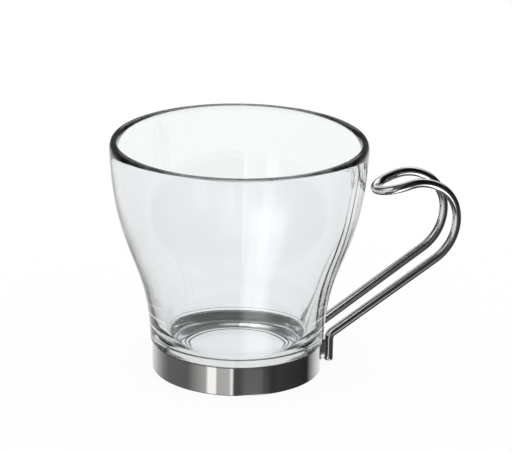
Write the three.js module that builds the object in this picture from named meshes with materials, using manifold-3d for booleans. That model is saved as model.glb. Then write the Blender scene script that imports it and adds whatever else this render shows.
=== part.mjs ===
// Espresso cup: a clear glass bowl with a waist, its foot bedded in a steel band
// that carries a handle bent from one length of wire.
// Millimetres, +Z up. The origin is on the cup's axis, on the plane that it stands on,
// and the handle points along +X.
import * as THREE from 'three';
import { mergeVertices } from 'three/addons/utils/BufferGeometryUtils.js';
import loadManifold from 'manifold-3d';

// Glass cup
const RIM_RADIUS = 35.1;
const CUP_HEIGHT = 65.0;
const LIP_THICKNESS = 2.5;
const LIP_RISE = 1.6;
const LIP_FULLNESS = 0.75;
const SHOULDER_STEP = 0.55;
const WALL_ABOVE_FLOOR = 3.35;
const BASE_THICKNESS = 4.15;
const FLOOR_CORNER_REACH = 7.3;
const FLOOR_CORNER_RISE = 8.7;
const FOOT_RING_WIDTH = 5.0;
const PUNT_STEP_WIDTH = 1.8;
const PUNT_STEP_HEIGHT = 0.4;
const PUNT_SLOPE = 0.8;
const FOOT_EDGE_ROUND = 0.5;

// How far the ends of the two wall curves hold their direction: [outward, upward]
const OUTER_SHOULDER_PULL = [0.8, 24.5];
const OUTER_RIM_PULL = [1.4, 31.0];
const INNER_FLOOR_PULL = [3.45, 20.2];
const INNER_RIM_PULL = [1.5, 26.4];

// Steel band
const BAND_RADIUS = 23.3;
const BAND_HEIGHT = 8.1;
const BAND_WALL = 0.8;
const BAND_LIP_WIDTH = 2.2;
const BAND_EDGE_ROUND = 0.3;

// Silicone seat between the band and the foot of the glass
const SEAT_THICKNESS = 0.5;
const SEAT_TOP_SETBACK = 0.4;

// Wire handle
const WIRE_DIAMETER = 2.5;
const FOOT_END_HEIGHT = 0.5;
const FOOT_BEND_HEIGHT = 6.86;
const FOOT_BEND_RADIUS = 2.2;
const RISE_ANGLE = 33;
const RISE_LENGTH = 34.9;
const LOWER_CURL_RADIUS = 13.1;
const LOWER_CURL_ANGLE = 65;
const UPPER_CURL_RADIUS = 11.3;
const UPPER_CURL_ANGLE = 97;
const NOSE_LENGTH = 8.2;
const LEG_SPACING_AT_FEET = 8.8;
const LEG_SPACING_AT_NOSE = 10.9;
const WIRE_STANDOFF = 1.1;

// Welds that fill the space between the wire's feet and the band
const WELD_WIDTH = 1.2;
const WELD_BOTTOM_SETBACK = 0.35;
const WELD_TOP_SETBACK = 1.1;
const WELD_END_ROUND = 0.6;

// Gap left between pieces that touch
const CLEARANCE = 0.3;

// Fineness of the facets
const TURN_SEGMENTS = 64;
const CURVE_POINTS = 12;
const LIP_POINTS = 8;
const FLOOR_CORNER_POINTS = 8;
const FILLET_POINTS = 4;
const WIRE_HALF_SIDES = 6;
const WIRE_STEPS = 150;

// Places that follow from the sizes above
const bandInnerRadius = BAND_RADIUS - BAND_WALL;
const seatOuterRadius = bandInnerRadius - CLEARANCE;
const seatInnerRadius = seatOuterRadius - SEAT_THICKNESS;
const seatBottom = BAND_WALL + CLEARANCE;
const seatFloorTop = seatBottom + SEAT_THICKNESS;
const glassFootRadius = seatInnerRadius - CLEARANCE;
const glassFootBottom = seatFloorTop + CLEARANCE;
const puntRadius = glassFootRadius - FOOT_RING_WIDTH;
const puntInnerRadius = puntRadius - PUNT_STEP_WIDTH;
const shoulderRadius = BAND_RADIUS + SHOULDER_STEP;
const shoulderHeight = BAND_HEIGHT + CLEARANCE;
const floorCornerRadius = shoulderRadius - WALL_ABOVE_FLOOR;
const floorFlatRadius = floorCornerRadius - FLOOR_CORNER_REACH;
const floorHeight = glassFootBottom + BASE_THICKNESS;
const floorCornerHeight = floorHeight + FLOOR_CORNER_RISE;
const lipBaseHeight = CUP_HEIGHT - LIP_RISE;
const bandLipRadius = BAND_RADIUS - BAND_LIP_WIDTH;
const footCentreRadius = BAND_RADIUS + WIRE_STANDOFF + WIRE_DIAMETER / 2;
const footAngle = Math.asin(LEG_SPACING_AT_FEET / 2 / footCentreRadius);
const footDistance = footCentreRadius * Math.cos(footAngle);

const manifold = await loadManifold();
manifold.setup();

const steel = new THREE.MeshStandardMaterial({ color: 0x9c9a98, roughness: 0.28, metalness: 1 });
const wireSteel = new THREE.MeshStandardMaterial({ color: 0x8f8f90, roughness: 0.12, metalness: 1 });
const glass = new THREE.MeshStandardMaterial({
  color: 0xe9efec,
  roughness: 0.03,
  metalness: 0,
  transparent: true,
  opacity: 0.35,
});
const silicone = new THREE.MeshStandardMaterial({ color: 0xdfe3e2, roughness: 0.5, metalness: 0 });

// A solid of revolution about Z from a profile drawn as (radius, height)
function revolve(name, points, material) {
  const geometry = new THREE.LatheGeometry(points, TURN_SEGMENTS);
  geometry.rotateX(Math.PI / 2);
  const mesh = new THREE.Mesh(geometry, material);
  mesh.name = name;
  return mesh;
}

// The underside, hollowed in two shallow steps, and the foot up to the shoulder
function glassFootPoints() {
  const firstStep = glassFootBottom + PUNT_STEP_HEIGHT;
  const secondStep = firstStep + PUNT_STEP_HEIGHT;
  const path = new THREE.Path();
  path.moveTo(0, secondStep);
  path.lineTo(puntInnerRadius - PUNT_SLOPE, secondStep);
  path.lineTo(puntInnerRadius, firstStep);
  path.lineTo(puntRadius - PUNT_SLOPE, firstStep);
  path.lineTo(puntRadius, glassFootBottom);
  path.lineTo(glassFootRadius - FOOT_EDGE_ROUND, glassFootBottom);
  path.quadraticCurveTo(
    glassFootRadius,
    glassFootBottom,
    glassFootRadius,
    glassFootBottom + FOOT_EDGE_ROUND,
  );
  path.lineTo(glassFootRadius, shoulderHeight);
  return path.getPoints(FILLET_POINTS);
}

// The outside of the wall, from the shoulder up to the lip
function outerWallPoints() {
  const path = new THREE.Path();
  path.moveTo(shoulderRadius, shoulderHeight);
  path.bezierCurveTo(
    shoulderRadius + OUTER_SHOULDER_PULL[0],
    shoulderHeight + OUTER_SHOULDER_PULL[1],
    RIM_RADIUS - OUTER_RIM_PULL[0],
    lipBaseHeight - OUTER_RIM_PULL[1],
    RIM_RADIUS,
    lipBaseHeight,
  );
  return path.getPoints(CURVE_POINTS);
}

// The fire-rounded lip, from the outside over to the inside, without its two ends.
// It is a little fuller than half an ellipse.
function lipPoints() {
  const radius = LIP_THICKNESS / 2;
  const points = [];
  for (let i = 1; i < LIP_POINTS; i += 1) {
    const turn = (Math.PI * i) / LIP_POINTS;
    const across = Math.sign(Math.cos(turn)) * Math.abs(Math.cos(turn)) ** LIP_FULLNESS;
    const up = Math.sin(turn) ** LIP_FULLNESS;
    points.push(new THREE.Vector2(RIM_RADIUS - radius + radius * across, lipBaseHeight + LIP_RISE * up));
  }
  return points;
}

// The inside of the wall, from the lip down to the corner of the floor
function innerWallPoints() {
  const innerRim = RIM_RADIUS - LIP_THICKNESS;
  const path = new THREE.Path();
  path.moveTo(innerRim, lipBaseHeight);
  path.bezierCurveTo(
    innerRim - INNER_RIM_PULL[0],
    lipBaseHeight - INNER_RIM_PULL[1],
    floorCornerRadius + INNER_FLOOR_PULL[0],
    floorCornerHeight + INNER_FLOOR_PULL[1],
    floorCornerRadius,
    floorCornerHeight,
  );
  return path.getPoints(CURVE_POINTS);
}

// The wide rounded corner at the bottom of the wall, and the flat floor to the axis
function glassFloorPoints() {
  const path = new THREE.Path();
  const lean = INNER_FLOOR_PULL[0] / INNER_FLOOR_PULL[1];
  path.moveTo(floorCornerRadius, floorCornerHeight);
  path.quadraticCurveTo(
    floorCornerRadius - FLOOR_CORNER_RISE * lean,
    floorHeight,
    floorFlatRadius,
    floorHeight,
  );
  path.lineTo(0, floorHeight);
  return path.getPoints(FLOOR_CORNER_POINTS).slice(1);
}

function glassCup() {
  const points = [
    ...glassFootPoints(),
    ...outerWallPoints(),
    ...lipPoints(),
    ...innerWallPoints(),
    ...glassFloorPoints(),
  ];
  return revolve('glass_cup', points, glass);
}

// The band: an upright wall, turned in at the bottom to carry the seat and the glass
function baseBand() {
  const path = new THREE.Path();
  path.moveTo(bandLipRadius, 0);
  path.lineTo(BAND_RADIUS - BAND_EDGE_ROUND, 0);
  path.quadraticCurveTo(BAND_RADIUS, 0, BAND_RADIUS, BAND_EDGE_ROUND);
  path.lineTo(BAND_RADIUS, BAND_HEIGHT - BAND_EDGE_ROUND);
  path.quadraticCurveTo(BAND_RADIUS, BAND_HEIGHT, BAND_RADIUS - BAND_EDGE_ROUND, BAND_HEIGHT);
  path.lineTo(bandInnerRadius, BAND_HEIGHT);
  path.lineTo(bandInnerRadius, BAND_WALL);
  path.lineTo(bandLipRadius, BAND_WALL);
  path.closePath();
  return revolve('base_band', path.getPoints(FILLET_POINTS), steel);
}

// The seat: an L-shaped ring that lines the band and lies on its turned-in lip
function siliconeSeat() {
  const top = BAND_HEIGHT - SEAT_TOP_SETBACK;
  const path = new THREE.Path();
  path.moveTo(bandLipRadius, seatBottom);
  path.lineTo(seatOuterRadius, seatBottom);
  path.lineTo(seatOuterRadius, top);
  path.lineTo(seatInnerRadius, top);
  path.lineTo(seatInnerRadius, seatFloorTop);
  path.lineTo(bandLipRadius, seatFloorTop);
  path.closePath();
  return revolve('silicone_seat', path.getPoints(), silicone);
}

// Draws a bend of the given radius from a point and heading, and gives where it ends.
// A positive angle bends to the left.
function addBend(path, start, heading, radius, angle) {
  const side = Math.sign(angle);
  const startAngle = heading - (side * Math.PI) / 2;
  const centre = new THREE.Vector2(
    start.x - side * radius * Math.sin(heading),
    start.y + side * radius * Math.cos(heading),
  );
  path.absarc(centre.x, centre.y, radius, startAngle, startAngle + angle, angle < 0);
  const endAngle = startAngle + angle;
  return new THREE.Vector2(
    centre.x + radius * Math.cos(endAngle),
    centre.y + radius * Math.sin(endAngle),
  );
}

// Draws a straight run from a point along a heading, and gives where it ends
function addRun(path, start, heading, length) {
  const end = new THREE.Vector2(
    start.x + length * Math.cos(heading),
    start.y + length * Math.sin(heading),
  );
  path.lineTo(end.x, end.y);
  return end;
}

// The handle seen from the side, as (distance from the cup's axis, height): up the foot,
// out along the rise, and round the curl to the nose
function handleSideView() {
  const upright = Math.PI / 2;
  const rise = THREE.MathUtils.degToRad(RISE_ANGLE);
  const lowerCurl = THREE.MathUtils.degToRad(LOWER_CURL_ANGLE);
  const upperCurl = THREE.MathUtils.degToRad(UPPER_CURL_ANGLE);
  const path = new THREE.Path();
  path.moveTo(footDistance, FOOT_END_HEIGHT);
  let place = new THREE.Vector2(footDistance, FOOT_END_HEIGHT);
  place = addRun(path, place, upright, FOOT_BEND_HEIGHT - FOOT_END_HEIGHT);
  place = addBend(path, place, upright, FOOT_BEND_RADIUS, rise - upright);
  place = addRun(path, place, rise, RISE_LENGTH);
  place = addBend(path, place, rise, LOWER_CURL_RADIUS, lowerCurl);
  place = addBend(path, place, rise + lowerCurl, UPPER_CURL_RADIUS, upperCurl);
  addRun(path, place, rise + lowerCurl + upperCurl, NOSE_LENGTH);
  return path;
}

// The centre line of the wire: out along one leg, round the nose and back along the other.
// The legs spread a little from the feet to the nose.
class HairpinCurve extends THREE.Curve {
  constructor(sideView) {
    super();
    this.sideView = sideView;
    this.sideLength = sideView.getLength();
    this.legLength = this.sideLength - NOSE_LENGTH;
    this.arcLengthDivisions = 4 * WIRE_STEPS;
  }

  at(along, across) {
    const place = this.sideView.getPoint(Math.min(along / this.sideLength, 1));
    return new THREE.Vector3(place.x, across, place.y);
  }

  leg(share, side) {
    const spread = THREE.MathUtils.lerp(LEG_SPACING_AT_FEET, LEG_SPACING_AT_NOSE, share);
    return this.at(share * this.legLength, (side * spread) / 2);
  }

  nose(angle) {
    const along = this.legLength + NOSE_LENGTH * Math.sin(angle);
    return this.at(along, (-Math.cos(angle) * LEG_SPACING_AT_NOSE) / 2);
  }

  getPoint(t) {
    const third = t * 3;
    if (third < 1) return this.leg(third, -1);
    if (third > 2) return this.leg(3 - third, 1);
    return this.nose((third - 1) * Math.PI);
  }
}

function bentWire() {
  const section = new THREE.Shape();
  section.absarc(0, 0, WIRE_DIAMETER / 2, 0, 2 * Math.PI, false);
  return new THREE.ExtrudeGeometry(section, {
    steps: WIRE_STEPS,
    curveSegments: WIRE_HALF_SIDES,
    extrudePath: new HairpinCurve(handleSideView()),
    bevelEnabled: false,
  });
}

// A weld, drawn from the side as (distance from the axis, height): it runs from the band
// to the middle of the wire foot, with round corners at the band
function weld(side) {
  const start = BAND_RADIUS + CLEARANCE;
  const bottom = FOOT_END_HEIGHT + WELD_BOTTOM_SETBACK;
  const top = BAND_HEIGHT - WELD_TOP_SETBACK;
  const shape = new THREE.Shape();
  shape.moveTo(footCentreRadius, bottom);
  shape.lineTo(footCentreRadius, top);
  shape.lineTo(start + WELD_END_ROUND, top);
  shape.quadraticCurveTo(start, top, start, top - WELD_END_ROUND);
  shape.lineTo(start, bottom + WELD_END_ROUND);
  shape.quadraticCurveTo(start, bottom, start + WELD_END_ROUND, bottom);
  const geometry = new THREE.ExtrudeGeometry(shape, {
    depth: WELD_WIDTH,
    curveSegments: FILLET_POINTS,
    bevelEnabled: false,
  });
  geometry.translate(0, 0, -WELD_WIDTH / 2);
  geometry.rotateX(Math.PI / 2);
  geometry.rotateZ(side * footAngle);
  return geometry;
}

// Geometry to a solid that can be joined to others, and back
function toSolid(geometry) {
  const bare = geometry.clone();
  bare.deleteAttribute('normal');
  bare.deleteAttribute('uv');
  const merged = mergeVertices(bare);
  return new manifold.Manifold(new manifold.Mesh({
    numProp: 3,
    vertProperties: merged.attributes.position.array,
    triVerts: Uint32Array.from(merged.index.array),
  }));
}

function toGeometry(solid) {
  const mesh = solid.getMesh();
  const geometry = new THREE.BufferGeometry();
  geometry.setAttribute('position', new THREE.BufferAttribute(mesh.vertProperties, 3));
  geometry.setIndex(new THREE.BufferAttribute(mesh.triVerts, 1));
  geometry.computeVertexNormals();
  return geometry;
}

// The wire with the weld metal on both its feet
function wireHandle() {
  const solid = toSolid(bentWire()).add(toSolid(weld(-1))).add(toSolid(weld(1)));
  const mesh = new THREE.Mesh(toGeometry(solid), wireSteel);
  mesh.name = 'wire_handle';
  return mesh;
}

const espressoCup = new THREE.Group();
espressoCup.add(glassCup(), siliconeSeat(), baseBand(), wireHandle());

export default espressoCup;
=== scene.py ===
"""The looks of an espresso cup: clear glass, a steel band round its foot and a bent wire handle.

Everything is in metres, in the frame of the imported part: +Z is up along the cup's axis,
+X points to the handle, and the cup stands on the plane z = 0.
"""

import math

import bmesh
import bpy
from mathutils import Matrix, Vector


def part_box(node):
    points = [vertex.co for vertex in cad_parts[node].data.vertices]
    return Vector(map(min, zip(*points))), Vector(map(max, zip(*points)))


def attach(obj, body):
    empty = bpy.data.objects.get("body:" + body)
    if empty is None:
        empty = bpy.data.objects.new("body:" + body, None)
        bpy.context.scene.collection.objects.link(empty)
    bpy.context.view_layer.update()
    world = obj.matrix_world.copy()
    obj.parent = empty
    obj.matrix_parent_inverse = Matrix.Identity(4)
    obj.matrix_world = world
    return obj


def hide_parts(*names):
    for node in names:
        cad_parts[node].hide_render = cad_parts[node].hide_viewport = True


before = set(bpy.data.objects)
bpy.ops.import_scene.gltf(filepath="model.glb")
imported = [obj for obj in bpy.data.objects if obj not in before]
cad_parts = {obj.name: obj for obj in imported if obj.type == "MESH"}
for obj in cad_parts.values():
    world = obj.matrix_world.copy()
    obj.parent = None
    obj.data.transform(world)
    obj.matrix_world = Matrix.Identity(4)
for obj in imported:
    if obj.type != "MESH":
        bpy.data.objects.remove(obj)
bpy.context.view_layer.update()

MM = 0.001

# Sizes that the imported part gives
glass_low, glass_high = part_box("glass_cup")
band_low, band_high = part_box("base_band")
seat_low, seat_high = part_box("silicone_seat")
wire_low, wire_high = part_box("wire_handle")
RIM_RADIUS = glass_high.y
CUP_HEIGHT = glass_high.z
GLASS_BOTTOM = glass_low.z
BAND_RADIUS = band_high.y
BAND_HEIGHT = band_high.z
SEAT_RADIUS = seat_high.y
SEAT_BOTTOM = seat_low.z
SEAT_TOP = seat_high.z
WIRE_FOOT_END = wire_low.z

# Glass
LIP_THICKNESS = 2.5 * MM
LIP_RISE = 2.2 * MM
SHOULDER_RADIUS = BAND_RADIUS + 0.55 * MM
SHOULDER_GAP = 0.3 * MM
FOOT_GAP = 0.3 * MM
BASE_THICKNESS = 4.15 * MM
FLOOR_CORNER_RADIUS = SHOULDER_RADIUS - 3.35 * MM
FLOOR_CORNER_RISE = 8.7 * MM
FLOOR_FLAT_RADIUS = FLOOR_CORNER_RADIUS - 7.3 * MM
PUNT_RADIUS = 16.4 * MM
PUNT_INNER_RADIUS = 14.6 * MM
PUNT_SLOPE = 0.8 * MM
PUNT_STEP = 0.4 * MM
PUNT_EDGE_ROUND = 0.2 * MM
GLASS_EDGE_ROUND = 0.5 * MM
SHOULDER_LEAD = 0.05
OUTER_SHOULDER_PULL = Vector((0.8, 24.5)) * MM
OUTER_RIM_PULL = Vector((1.4, 31.0)) * MM
INNER_FLOOR_PULL = Vector((3.45, 20.2)) * MM
INNER_RIM_PULL = Vector((1.5, 26.4)) * MM

# Steel band and its seat
BAND_WALL = 0.8 * MM
BAND_LIP_WIDTH = 2.2 * MM
BAND_EDGE_ROUND = 0.25 * MM
INNER_WALL_START = 1.2 * BAND_WALL
SEAT_THICKNESS = 0.5 * MM
SEAT_EDGE_ROUND = 0.15 * MM

# Wire handle
WIRE_RADIUS = 1.25 * MM
WIRE_STANDOFF = 1.1 * MM
FOOT_BEND_HEIGHT = 6.86 * MM
FOOT_BEND_RADIUS = 2.2 * MM
RISE_ANGLE = math.radians(33)
RISE_LENGTH = 34.9 * MM
LOWER_CURL_RADIUS = 13.1 * MM
LOWER_CURL_ANGLE = math.radians(65)
UPPER_CURL_RADIUS = 11.3 * MM
UPPER_CURL_ANGLE = math.radians(97)
NOSE_LENGTH = 8.2 * MM
LEG_SPACING_AT_FEET = 8.8 * MM
LEG_SPACING_AT_NOSE = 10.9 * MM
WIRE_END_ROUND = 0.45 * MM
WIRE_END_CLEAR = 1.1 * WIRE_END_ROUND

# Welds between the wire's feet and the band
WELD_HALF_WIDTH = 0.6 * MM
WELD_HALF_DEPTH = 1.0 * MM
WELD_FOOT_MARGIN = 0.35 * MM
WELD_FULLNESS = 0.4
WELD_TIP = 0.02

# Fineness of the meshes
TURN_STEPS = 192
CURVE_STEPS = 48
ROUND_STEPS = 8
SUPPORT = 0.12 * MM
WIRE_SIDES = 28
WIRE_STEP = 0.4 * MM
NOSE_STEPS = 56
WELD_SIDES = 16
WELD_RINGS = 20

# Finishes
WHITE = (1.0, 1.0, 1.0, 1.0)
GLASS_TINT = (0.975, 0.99, 0.997, 1.0)
GLASS_DEPTH_TINT = (0.895, 0.9, 0.9, 1.0)
GLASS_DEPTH_DENSITY = 120.0
GLASS_IOR = 1.5
GLASS_WAVE_SCALE = 80.0
GLASS_WAVE_HEIGHT = 0.03 * MM
BAND_TONE = (0.62, 0.611, 0.598, 1.0)
BAND_ROUGHNESS = 0.07
DRAWN_LINE_SCALE = 9000.0
DRAWN_LINE_ROUGHNESS = 0.05
INNER_WALL_ROUGHNESS = 0.5
WIRE_TONE = (0.68, 0.68, 0.68, 1.0)
WIRE_ROUGHNESS = 0.05
WIRE_GRAIN_SCALE = 400.0
WIRE_GRAIN_ROUGHNESS = 0.04
SILICONE_TINT = (0.97, 0.98, 0.98, 1.0)
SILICONE_IOR = 1.41
SILICONE_ROUGHNESS = 0.02
SILICONE_CLOUD_SCALE = 250.0
SILICONE_CLOUD_ROUGHNESS = 0.08
FLOOR_TONE = (0.975, 0.975, 0.975, 1.0)
FLOOR_WHITE_SHARE = 0.93

# The photograph's camera, seen from the part
IMAGE_WIDTH = 512
SENSOR_WIDTH = 36.0
FOCAL_PIXELS = 2773.65
CAMERA_TURN = math.radians(16.83)
CAMERA_REACH = 712.5 * MM
CAMERA_HEIGHT = 287.27 * MM
CAMERA_AIM_HEIGHT = 40.3 * MM
CAMERA_YAW = 0.00669
CAMERA_ROLL = 0.01508
CLIP_NEAR = 0.01
CLIP_FAR = 100.0

FLOOR_SIZE = 12.0

# Light goes round many times inside the glass wall before it leaves
LIGHT_BOUNCES = 64


# Shader nodes

class Wire:
    """One socket of a shader node. Arithmetic on it adds Math nodes."""

    def __init__(self, graph, socket):
        self.graph = graph
        self.socket = socket

    def out(self, name):
        return Wire(self.graph, self.socket.node.outputs[name])

    def math(self, operation, *others):
        return self.graph.math(operation, self, *others)

    def __add__(self, other):
        return self.math("ADD", other)

    __radd__ = __add__

    def __sub__(self, other):
        return self.math("SUBTRACT", other)

    def __rsub__(self, other):
        return self.graph.math("SUBTRACT", other, self)

    def __mul__(self, other):
        return self.math("MULTIPLY", other)

    __rmul__ = __mul__

    def __truediv__(self, other):
        return self.math("DIVIDE", other)


class Graph:
    """A shader node tree, filled by node()."""

    def __init__(self, tree):
        self.tree = tree
        tree.nodes.clear()

    def node(self, kind, settings=None, inputs=None, output=0):
        made = self.tree.nodes.new("ShaderNode" + kind)
        for name, value in (settings or {}).items():
            if name == "stops":
                self.set_stops(made.color_ramp, value)
            else:
                setattr(made, name, value)
        for name, value in (inputs or {}).items():
            if isinstance(value, Wire):
                self.tree.links.new(value.socket, made.inputs[name])
            else:
                made.inputs[name].default_value = value
        return Wire(self, made.outputs[output]) if made.outputs else made

    def math(self, operation, *values):
        return self.node("Math", {"operation": operation}, dict(enumerate(values)))

    def mix_colours(self, blend, factor, first, second):
        settings = {"data_type": "RGBA", "blend_type": blend}
        return self.node("Mix", settings, {"Factor": factor, 6: first, 7: second}, output=2)

    def smooth_step(self, value, start, end):
        """Zero up to start and one from end on, with a soft change between them."""
        ends = {"Value": value, "From Min": start, "From Max": end}
        return self.node("MapRange", {"interpolation_type": "SMOOTHSTEP"}, ends)

    def band_of(self, value, rise, fall):
        """One between the end of the rise and the start of the fall, and zero outside them."""
        return self.smooth_step(value, *rise) * self.smooth_step(value, fall[1], fall[0])

    @staticmethod
    def set_stops(ramp, stops):
        while len(ramp.elements) < len(stops):
            ramp.elements.new(0.5)
        for element, (place, colour) in zip(ramp.elements, stops):
            element.position = place
            element.color = colour if len(colour) == 4 else (*colour, 1.0)


def grey(value):
    return (value, value, value)


def new_material(name):
    material = bpy.data.materials.new(name)
    material.use_nodes = True
    return material, Graph(material.node_tree)


def glass_material():
    material, graph = new_material("clear_glass")
    place = graph.node("TexCoord").out("Object")
    waves = graph.node("TexNoise", inputs={"Vector": place, "Scale": GLASS_WAVE_SCALE, "Detail": 1.0})
    uneven = graph.node("Bump", inputs={
        "Strength": 1.0,
        "Distance": GLASS_WAVE_HEIGHT,
        "Height": waves,
    })
    surface = graph.node("BsdfPrincipled", inputs={
        "Normal": uneven,
        "Base Color": GLASS_TINT,
        "Roughness": 0.0,
        "IOR": GLASS_IOR,
        "Transmission Weight": 1.0,
    })
    depth = graph.node("VolumeAbsorption", inputs={
        "Color": GLASS_DEPTH_TINT,
        "Density": GLASS_DEPTH_DENSITY,
    })
    graph.node("OutputMaterial", inputs={"Surface": surface, "Volume": depth})
    return material


def band_material():
    """Steel, polished along fine drawn lines outside and left duller on the inner wall."""
    material, graph = new_material("band_steel")
    place = graph.node("TexCoord").out("Object")
    split = graph.node("SeparateXYZ", inputs={"Vector": place})
    radius = graph.math("SQRT", split.out("X") * split.out("X") + split.out("Y") * split.out("Y"))
    above_lip = graph.math("GREATER_THAN", split.out("Z"), INNER_WALL_START)
    inside = graph.math("LESS_THAN", radius, BAND_RADIUS - BAND_WALL / 2) * above_lip
    lines = graph.node("TexNoise", {"noise_dimensions": "1D"}, {
        "W": split.out("Z"),
        "Scale": DRAWN_LINE_SCALE,
    })
    surface = graph.node("BsdfPrincipled", inputs={
        "Base Color": BAND_TONE,
        "Metallic": 1.0,
        "Roughness": lines * DRAWN_LINE_ROUGHNESS + BAND_ROUGHNESS + inside * INNER_WALL_ROUGHNESS,
        "Anisotropic": 0.95,
        "Anisotropic Rotation": 0.25,
    })
    graph.node("OutputMaterial", inputs={"Surface": surface})
    return material


def wire_material():
    material, graph = new_material("wire_steel")
    place = graph.node("TexCoord").out("Object")
    grain = graph.node("TexNoise", inputs={"Vector": place, "Scale": WIRE_GRAIN_SCALE, "Detail": 3.0})
    surface = graph.node("BsdfPrincipled", inputs={
        "Base Color": WIRE_TONE,
        "Metallic": 1.0,
        "Roughness": grain * WIRE_GRAIN_ROUGHNESS + WIRE_ROUGHNESS,
    })
    graph.node("OutputMaterial", inputs={"Surface": surface})
    return material


def silicone_material():
    material, graph = new_material("clear_silicone")
    place = graph.node("TexCoord").out("Object")
    cloud = graph.node("TexNoise", inputs={"Vector": place, "Scale": SILICONE_CLOUD_SCALE, "Detail": 2.0})
    surface = graph.node("BsdfPrincipled", inputs={
        "Base Color": SILICONE_TINT,
        "Roughness": cloud * SILICONE_CLOUD_ROUGHNESS + SILICONE_ROUGHNESS,
        "IOR": SILICONE_IOR,
        "Transmission Weight": 1.0,
    })
    graph.node("OutputMaterial", inputs={"Surface": surface})
    return material


def floor_material():
    """Plain and pale: white to the camera and through the glass, with the cup's faint shadow on it."""
    material, graph = new_material("pale_floor")
    matt = graph.node("BsdfDiffuse", inputs={"Color": FLOOR_TONE})
    white = graph.node("Emission", inputs={"Color": WHITE, "Strength": 1.0})
    path = graph.node("LightPath")
    seen = graph.math("MAXIMUM", path.out("Is Camera Ray"), path.out("Is Transmission Ray"))
    surface = graph.node("MixShader", inputs={0: seen * FLOOR_WHITE_SHARE, 1: matt, 2: white})
    graph.node("OutputMaterial", inputs={"Surface": surface})
    return material


# Meshes

def add_piece(name, points, faces, material, replaced=None):
    """A smooth mesh that rides on the part's one body."""
    mesh = bpy.data.meshes.new(name)
    mesh.from_pydata(points, [], faces)
    mesh.update()
    tidy = bmesh.new()
    tidy.from_mesh(mesh)
    bmesh.ops.remove_doubles(tidy, verts=tidy.verts, dist=1e-7)
    bmesh.ops.recalc_face_normals(tidy, faces=tidy.faces)
    tidy.to_mesh(mesh)
    tidy.free()
    mesh.shade_smooth()
    mesh.materials.append(material)
    piece = bpy.data.objects.new(name, mesh)
    bpy.context.scene.collection.objects.link(piece)
    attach(piece, "root")
    if replaced:
        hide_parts(replaced)
    return piece


def rounded(corners):
    """The points of an outline of straight runs, given as (place, round): each corner is
    rounded to its radius, with a point close by on both runs that keeps them flat."""
    points = [corners[0][0]]
    for (before, _), (corner, radius), (after, _) in zip(corners, corners[1:], corners[2:]):
        back = (before - corner).normalized()
        onward = (after - corner).normalized()
        half_turn = back.angle(onward) / 2
        reach = radius / math.tan(half_turn)
        centre = corner + (back + onward).normalized() * (radius / math.sin(half_turn))
        first = corner + back * reach - centre
        last = corner + onward * reach - centre
        bend = first.angle_signed(last)
        points.append(corner + back * (reach + SUPPORT))
        for step in range(ROUND_STEPS + 1):
            turn = Matrix.Rotation(-bend * step / ROUND_STEPS, 2)
            points.append(centre + turn @ first)
        points.append(corner + onward * (reach + SUPPORT))
    points.append(corners[-1][0])
    return points


def bezier(start, first_pull, second_pull, end, steps=CURVE_STEPS):
    """Points on the curve that leaves start towards first_pull and reaches end from second_pull."""
    points = []
    for step in range(steps + 1):
        t = step / steps
        s = 1 - t
        near = start * s**3 + first_pull * (3 * s * s * t)
        far = second_pull * (3 * s * t * t) + end * t**3
        points.append(near + far)
    return points


def revolve(name, outline, closed, material, replaced):
    """Turns an outline of (radius, height) about the cup's axis. An open one ends on the axis."""
    points, faces = [], []
    count = len(outline)
    for step in range(TURN_STEPS):
        angle = 2 * math.pi * step / TURN_STEPS
        for place in outline:
            points.append((place.x * math.cos(angle), place.x * math.sin(angle), place.y))
    for step in range(TURN_STEPS):
        here = step * count
        there = (step + 1) % TURN_STEPS * count
        for i in range(count if closed else count - 1):
            j = (i + 1) % count
            corners = [here + i, there + i, there + j, here + j]
            if outline[i].x < 1e-9:
                corners.remove(there + i)
            if outline[j].x < 1e-9:
                corners.remove(there + j)
            faces.append(corners)
    return add_piece(name, points, faces, material, replaced)


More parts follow.
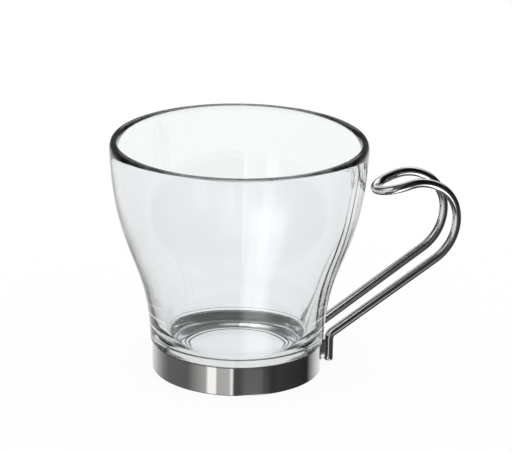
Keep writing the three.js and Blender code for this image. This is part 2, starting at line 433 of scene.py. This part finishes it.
def glass_outline():
    """From the axis under the base, out to the foot, up the wall, over the lip and down inside."""
    foot_radius = SEAT_RADIUS - SEAT_THICKNESS - FOOT_GAP
    shoulder_height = BAND_HEIGHT + SHOULDER_GAP
    floor_height = GLASS_BOTTOM + BASE_THICKNESS
    corner_height = floor_height + FLOOR_CORNER_RISE
    lip_height = CUP_HEIGHT - LIP_RISE
    shoulder = Vector((SHOULDER_RADIUS, shoulder_height))
    outer_rim = Vector((RIM_RADIUS, lip_height))
    inner_rim = Vector((RIM_RADIUS - LIP_THICKNESS, lip_height))
    corner = Vector((FLOOR_CORNER_RADIUS, corner_height))
    under = rounded([
        (Vector((0, GLASS_BOTTOM + 2 * PUNT_STEP)), 0),
        (Vector((PUNT_INNER_RADIUS - PUNT_SLOPE, GLASS_BOTTOM + 2 * PUNT_STEP)), PUNT_EDGE_ROUND),
        (Vector((PUNT_INNER_RADIUS, GLASS_BOTTOM + PUNT_STEP)), PUNT_EDGE_ROUND),
        (Vector((PUNT_RADIUS - PUNT_SLOPE, GLASS_BOTTOM + PUNT_STEP)), PUNT_EDGE_ROUND),
        (Vector((PUNT_RADIUS, GLASS_BOTTOM)), PUNT_EDGE_ROUND),
        (Vector((foot_radius, GLASS_BOTTOM)), GLASS_EDGE_ROUND),
        (Vector((foot_radius, shoulder_height)), GLASS_EDGE_ROUND / 2),
        (shoulder, GLASS_EDGE_ROUND / 2),
        (shoulder + OUTER_SHOULDER_PULL * SHOULDER_LEAD, 0),
    ])
    outer = bezier(
        shoulder,
        shoulder + OUTER_SHOULDER_PULL,
        outer_rim - OUTER_RIM_PULL,
        outer_rim,
    )
    lip_centre = (outer_rim + inner_rim) / 2
    lip = []
    for step in range(1, 2 * ROUND_STEPS):
        turn = math.pi * step / (2 * ROUND_STEPS)
        lip.append(lip_centre + Vector((math.cos(turn) * LIP_THICKNESS / 2, math.sin(turn) * LIP_RISE)))
    inner = bezier(
        inner_rim,
        inner_rim - INNER_RIM_PULL,
        corner + INNER_FLOOR_PULL,
        corner,
    )
    lean = INNER_FLOOR_PULL.x / INNER_FLOOR_PULL.y
    bend = Vector((FLOOR_CORNER_RADIUS - FLOOR_CORNER_RISE * lean, floor_height))
    flat = Vector((FLOOR_FLAT_RADIUS, floor_height))
    fillet = bezier(corner, corner.lerp(bend, 2 / 3), flat.lerp(bend, 2 / 3), flat, 2 * ROUND_STEPS)
    above_shoulder = [place for place in outer if place.y > under[-1].y]
    return under + above_shoulder + lip + inner + fillet[1:] + [
        flat - Vector((SUPPORT, 0)),
        Vector((0, floor_height)),
    ]


def band_outline():
    lip_radius = BAND_RADIUS - BAND_LIP_WIDTH
    inner_radius = BAND_RADIUS - BAND_WALL
    start = Vector(((lip_radius + BAND_RADIUS) / 2, 0))
    return rounded([
        (start, 0),
        (Vector((BAND_RADIUS, 0)), BAND_EDGE_ROUND),
        (Vector((BAND_RADIUS, BAND_HEIGHT)), BAND_EDGE_ROUND),
        (Vector((inner_radius, BAND_HEIGHT)), BAND_EDGE_ROUND),
        (Vector((inner_radius, BAND_WALL)), BAND_EDGE_ROUND),
        (Vector((lip_radius, BAND_WALL)), BAND_EDGE_ROUND),
        (Vector((lip_radius, 0)), BAND_EDGE_ROUND),
        (start, 0),
    ])[:-1]


def seat_outline():
    lip_radius = BAND_RADIUS - BAND_LIP_WIDTH
    inner_radius = SEAT_RADIUS - SEAT_THICKNESS
    start = Vector(((lip_radius + SEAT_RADIUS) / 2, SEAT_BOTTOM))
    return rounded([
        (start, 0),
        (Vector((SEAT_RADIUS, SEAT_BOTTOM)), SEAT_EDGE_ROUND),
        (Vector((SEAT_RADIUS, SEAT_TOP)), SEAT_EDGE_ROUND),
        (Vector((inner_radius, SEAT_TOP)), SEAT_EDGE_ROUND),
        (Vector((inner_radius, SEAT_BOTTOM + SEAT_THICKNESS)), SEAT_EDGE_ROUND),
        (Vector((lip_radius, SEAT_BOTTOM + SEAT_THICKNESS)), SEAT_EDGE_ROUND),
        (Vector((lip_radius, SEAT_BOTTOM)), SEAT_EDGE_ROUND),
        (start, 0),
    ])[:-1]


def foot_place():
    """Where the middle of a wire foot stands: (distance along +X, distance to the side)."""
    radius = BAND_RADIUS + WIRE_STANDOFF + WIRE_RADIUS
    side = LEG_SPACING_AT_FEET / 2
    return math.sqrt(radius**2 - side**2), side


# The handle seen from the side, as (length, curvature): foot, bend, rise, curl and nose
HANDLE_RUNS = [
    (FOOT_BEND_HEIGHT - WIRE_FOOT_END, 0),
    (FOOT_BEND_RADIUS * (math.pi / 2 - RISE_ANGLE), -1 / FOOT_BEND_RADIUS),
    (RISE_LENGTH, 0),
    (LOWER_CURL_RADIUS * LOWER_CURL_ANGLE, 1 / LOWER_CURL_RADIUS),
    (UPPER_CURL_RADIUS * UPPER_CURL_ANGLE, 1 / UPPER_CURL_RADIUS),
    (NOSE_LENGTH, 0),
]


def handle_side_view(distance):
    """The point of the side view that lies this far along the wire, as (x, z)."""
    x, z = foot_place()[0], WIRE_FOOT_END
    heading = math.pi / 2
    for length, curvature in HANDLE_RUNS:
        run = min(length, distance)
        if curvature:
            turned = heading + run * curvature
            x += (math.sin(turned) - math.sin(heading)) / curvature
            z -= (math.cos(turned) - math.cos(heading)) / curvature
            heading = turned
        else:
            x += run * math.cos(heading)
            z += run * math.sin(heading)
        distance -= run
    return x, z


def wire_centre_line():
    """Out along one leg, round the nose and back along the other."""
    leg_length = sum(length for length, _ in HANDLE_RUNS) - NOSE_LENGTH
    steps = round(leg_length / WIRE_STEP)
    leg = []
    for step in range(steps + 1):
        share = step / steps
        x, z = handle_side_view(share * leg_length)
        spread = LEG_SPACING_AT_FEET + (LEG_SPACING_AT_NOSE - LEG_SPACING_AT_FEET) * share
        leg.append(Vector((x, -spread / 2, z)))
    nose = []
    for step in range(1, NOSE_STEPS):
        angle = math.pi * step / NOSE_STEPS
        x, z = handle_side_view(leg_length + NOSE_LENGTH * math.sin(angle))
        nose.append(Vector((x, -math.cos(angle) * LEG_SPACING_AT_NOSE / 2, z)))
    back = [Vector((place.x, -place.y, place.z)) for place in reversed(leg)]
    return leg + nose + back


def sweep(centre_line, radii, sides):
    """Rings of points round a centre line, turned as little as possible from one to the next."""
    points, faces = [], []
    count = len(centre_line)
    ahead = (centre_line[1] - centre_line[0]).normalized()
    side = ahead.orthogonal().normalized()
    for i, (place, radius) in enumerate(zip(centre_line, radii)):
        before = centre_line[max(i - 1, 0)]
        after = centre_line[min(i + 1, count - 1)]
        turned = (after - before).normalized()
        side = ahead.rotation_difference(turned) @ side
        ahead = turned
        other = ahead.cross(side)
        for k in range(sides):
            angle = 2 * math.pi * k / sides
            points.append(place + (side * math.cos(angle) + other * math.sin(angle)) * radius)
    for i in range(count - 1):
        for k in range(sides):
            n = (k + 1) % sides
            faces.append([i * sides + k, i * sides + n, (i + 1) * sides + n, (i + 1) * sides + k])
    faces.append(list(range(sides)))
    faces.append([(count - 1) * sides + k for k in range(sides)])
    return points, faces


def end_rings(tip, ahead):
    """Rings of (place, radius) that round off an end of the wire, from its tip inwards."""
    rings = []
    for step in reversed(range(ROUND_STEPS)):
        turn = math.pi / 2 * step / ROUND_STEPS
        along = WIRE_END_ROUND * (1 - math.sin(turn))
        radius = WIRE_RADIUS - WIRE_END_ROUND * (1 - math.cos(turn))
        rings.append((tip + ahead * along, radius))
    return rings


def wire_piece(material):
    line = wire_centre_line()
    first, last = line[0], line[-1]
    middle = []
    for place in line:
        if min((place - first).length, (place - last).length) > WIRE_END_CLEAR:
            middle.append((place, WIRE_RADIUS))
    start = end_rings(first, (line[1] - first).normalized())
    end = end_rings(last, (line[-2] - last).normalized())
    places, radii = zip(*start, *middle, *reversed(end))
    points, faces = sweep(places, radii, WIRE_SIDES)
    return add_piece("bent_wire", points, faces, material, "wire_handle")


def weld_pieces(material):
    """A low bead between each wire foot and the band."""
    x, side = foot_place()
    for name, y in (("front_weld", -side), ("rear_weld", side)):
        outward = Vector((x, y, 0)).normalized()
        sideways = Vector((-outward.y, outward.x, 0))
        centre = outward * (BAND_RADIUS + WIRE_STANDOFF / 2)
        low = WIRE_FOOT_END + WELD_FOOT_MARGIN
        high = FOOT_BEND_HEIGHT - WELD_FOOT_MARGIN
        points, faces = [], []
        for ring in range(WELD_RINGS + 1):
            turn = math.pi * ring / WELD_RINGS
            height = (low + high) / 2 - (high - low) / 2 * math.cos(turn)
            swell = math.sin(turn) ** WELD_FULLNESS if 0 < ring < WELD_RINGS else WELD_TIP
            for k in range(WELD_SIDES):
                angle = 2 * math.pi * k / WELD_SIDES
                across = sideways * (math.cos(angle) * WELD_HALF_WIDTH * swell)
                proud = outward * (math.sin(angle) * WELD_HALF_DEPTH * swell)
                points.append(centre + across + proud + Vector((0, 0, height)))
        for ring in range(WELD_RINGS):
            for k in range(WELD_SIDES):
                n = (k + 1) % WELD_SIDES
                here, there = ring * WELD_SIDES, (ring + 1) * WELD_SIDES
                faces.append([here + k, here + n, there + n, there + k])
        faces.append(list(range(WELD_SIDES)))
        faces.append([WELD_RINGS * WELD_SIDES + k for k in range(WELD_SIDES)])
        add_piece(name, points, faces, material)


# Stage, light and camera

def make_floor():
    mesh = bpy.data.meshes.new("floor")
    half = FLOOR_SIZE / 2
    corners = [(-half, -half, 0), (half, -half, 0), (half, half, 0), (-half, half, 0)]
    mesh.from_pydata(corners, [], [(0, 1, 2, 3)])
    mesh.materials.append(floor_material())
    floor = bpy.data.objects.new("floor", mesh)
    bpy.context.scene.collection.objects.link(floor)
    # The steel mirrors the studio and not the floor
    floor.visible_glossy = False


# The studio round the cup, as (degrees to the camera's right, seen from the cup; brightness)
STUDIO = [
    (-180, 1.0), (-146, 0.75), (-131, 0.5), (-116, 0.26), (-106, 0.18), (-70, 0.16), (-54, 0.4),
    (-41, 0.6), (-40, 1.5), (-28, 1.5), (-27, 0.62), (-9, 0.68), (-8, 1.3), (-5, 1.3), (-4, 0.1),
    (34, 0.1), (36, 0.035), (60, 0.06), (112, 0.03), (119, 0.3), (135, 0.8), (160, 1.15), (180, 1.0),
]


# Its two soft lamps, as the rise and the fall of their light in degrees to the camera's right:
# the strip is mirrored in the front of the glass, and the wide lamp shows through the glass
STRIP_RISE, STRIP_FALL = (1.8, 16.2), (37.8, 54.0)
STRIP_BRIGHTNESS = 2.2
LAMP_RISE, LAMP_FALL = (-82.8, -50.4), (7.2, 43.2)
LAMP_BRIGHTNESS = 0.7

# How bright its darker parts are, and how much brighter the steel shows its rear top
STUDIO_LEAST = 0.16
STEEP_TONE = 0.08
GLASS_LEAST = 0.05
REAR_TOP_GAIN = 1.3


def share_of_turn(degrees):
    """Degrees to the camera's right as a share of the full turn that starts behind the cup."""
    return (degrees + 180) / 360


def shares_of_turn(edges):
    return [share_of_turn(degrees) for degrees in edges]


def make_world():
    """White to the camera and to matt surfaces. The steel mirrors a studio of light and dark parts,
    and the glass shows one that differs a little: both are fitted to the photograph."""
    world = bpy.data.worlds.new("studio")
    bpy.context.scene.world = world
    world.use_nodes = True
    graph = Graph(world.node_tree)
    path = graph.node("LightPath")
    mirrored = path.out("Is Reflection Ray")
    direction = graph.node("TexCoord").out("Generated")
    split = graph.node("SeparateXYZ", inputs={"Vector": direction})
    turn = graph.math("ARCTAN2", split.out("Y"), split.out("X"))
    share = graph.math("FRACT", (turn + (math.pi / 2 + CAMERA_TURN + math.pi)) / (2 * math.pi))
    stops = [(share_of_turn(degrees), grey(value)) for degrees, value in STUDIO]
    cards = graph.node("ValToRGB", {"stops": stops}, {"Fac": share})

    # Height runs from -1, straight down, to 1, straight up.
    # Away runs from -1, on the camera's side, to 1, behind the cup.
    height = split.out("Z")
    away = split.out("X") * math.sin(CAMERA_TURN) + split.out("Y") * math.cos(CAMERA_TURN)
    low = graph.smooth_step(height, 0.16, 0.03)
    low_mirrored = graph.smooth_step(height, -0.1, -0.2)
    steep = graph.smooth_step(height, -0.42, -0.55) * mirrored
    high = graph.band_of(height, (-0.1, 0.1), (0.75, 0.9))
    high_mirrored = graph.band_of(height, (0.36, 0.44), (0.75, 0.9))
    front = graph.smooth_step(away, 0.0, -0.2)
    rear = graph.smooth_step(away, -0.1, 0.3)
    centre = graph.smooth_step(away, 0.55, 0.7)
    seen_in_steel = graph.math("MAXIMUM", low_mirrored, front * low) + rear * high_mirrored * REAR_TOP_GAIN
    seen_in_glass = graph.math("MAXIMUM", low, high * (front + centre))
    lit = mirrored * seen_in_steel + (1 - mirrored) * seen_in_glass

    strip = graph.band_of(share, shares_of_turn(STRIP_RISE), shares_of_turn(STRIP_FALL))
    lamp_sides = graph.band_of(share, shares_of_turn(LAMP_RISE), shares_of_turn(LAMP_FALL))
    lamp = graph.band_of(height, (0.2, 0.35), (0.7, 0.85)) * lamp_sides
    added = (GLASS_LEAST + LAMP_BRIGHTNESS * lamp) * (1 - mirrored)

    shaded = graph.mix_colours("MULTIPLY", 1.0, cards, STUDIO_LEAST + (1 - STUDIO_LEAST) * lit)
    with_strip = graph.mix_colours("MIX", steep, shaded, STEEP_TONE + STRIP_BRIGHTNESS * strip)
    with_lamp = graph.mix_colours("ADD", 1.0, with_strip, added)
    plain = graph.math("MAXIMUM", path.out("Is Camera Ray"), path.out("Is Diffuse Ray"))
    seen = graph.mix_colours("MIX", plain, with_lamp, WHITE)
    background = graph.node("Background", inputs={"Color": seen, "Strength": 1.0})
    graph.node("OutputWorld", inputs={"Surface": background})


def make_camera():
    data = bpy.data.cameras.new("camera")
    data.sensor_width = SENSOR_WIDTH
    data.lens = FOCAL_PIXELS / IMAGE_WIDTH * SENSOR_WIDTH
    data.clip_start = CLIP_NEAR
    data.clip_end = CLIP_FAR
    camera = bpy.data.objects.new("camera", data)
    pitch = math.atan2(CAMERA_HEIGHT - CAMERA_AIM_HEIGHT, CAMERA_REACH)
    ahead = Vector((
        math.sin(CAMERA_YAW) * math.cos(pitch),
        math.cos(CAMERA_YAW) * math.cos(pitch),
        -math.sin(pitch),
    ))
    level = ahead.cross(Vector((0, 0, 1))).normalized()
    upright = level.cross(ahead)
    right = level * math.cos(CAMERA_ROLL) + upright * math.sin(CAMERA_ROLL)
    up = upright * math.cos(CAMERA_ROLL) - level * math.sin(CAMERA_ROLL)
    facing = Matrix((right, up, -ahead)).transposed().to_4x4()
    place = Matrix.Translation((0, -CAMERA_REACH, CAMERA_HEIGHT))
    camera.matrix_world = Matrix.Rotation(-CAMERA_TURN, 4, "Z") @ place @ facing
    bpy.context.scene.collection.objects.link(camera)
    bpy.context.scene.camera = camera


make_camera()
make_world()
make_floor()
wire_steel = wire_material()
revolve("glass_bowl", glass_outline(), False, glass_material(), "glass_cup")
revolve("foot_band", band_outline(), True, band_material(), "base_band")
revolve("seat_ring", seat_outline(), True, silicone_material(), "silicone_seat")
wire_piece(wire_steel)
weld_pieces(wire_steel)

scene = bpy.context.scene
scene.view_settings.view_transform = "Standard"
scene.cycles.max_bounces = LIGHT_BOUNCES
scene.cycles.transmission_bounces = LIGHT_BOUNCES
scene.cycles.glossy_bounces = LIGHT_BOUNCES
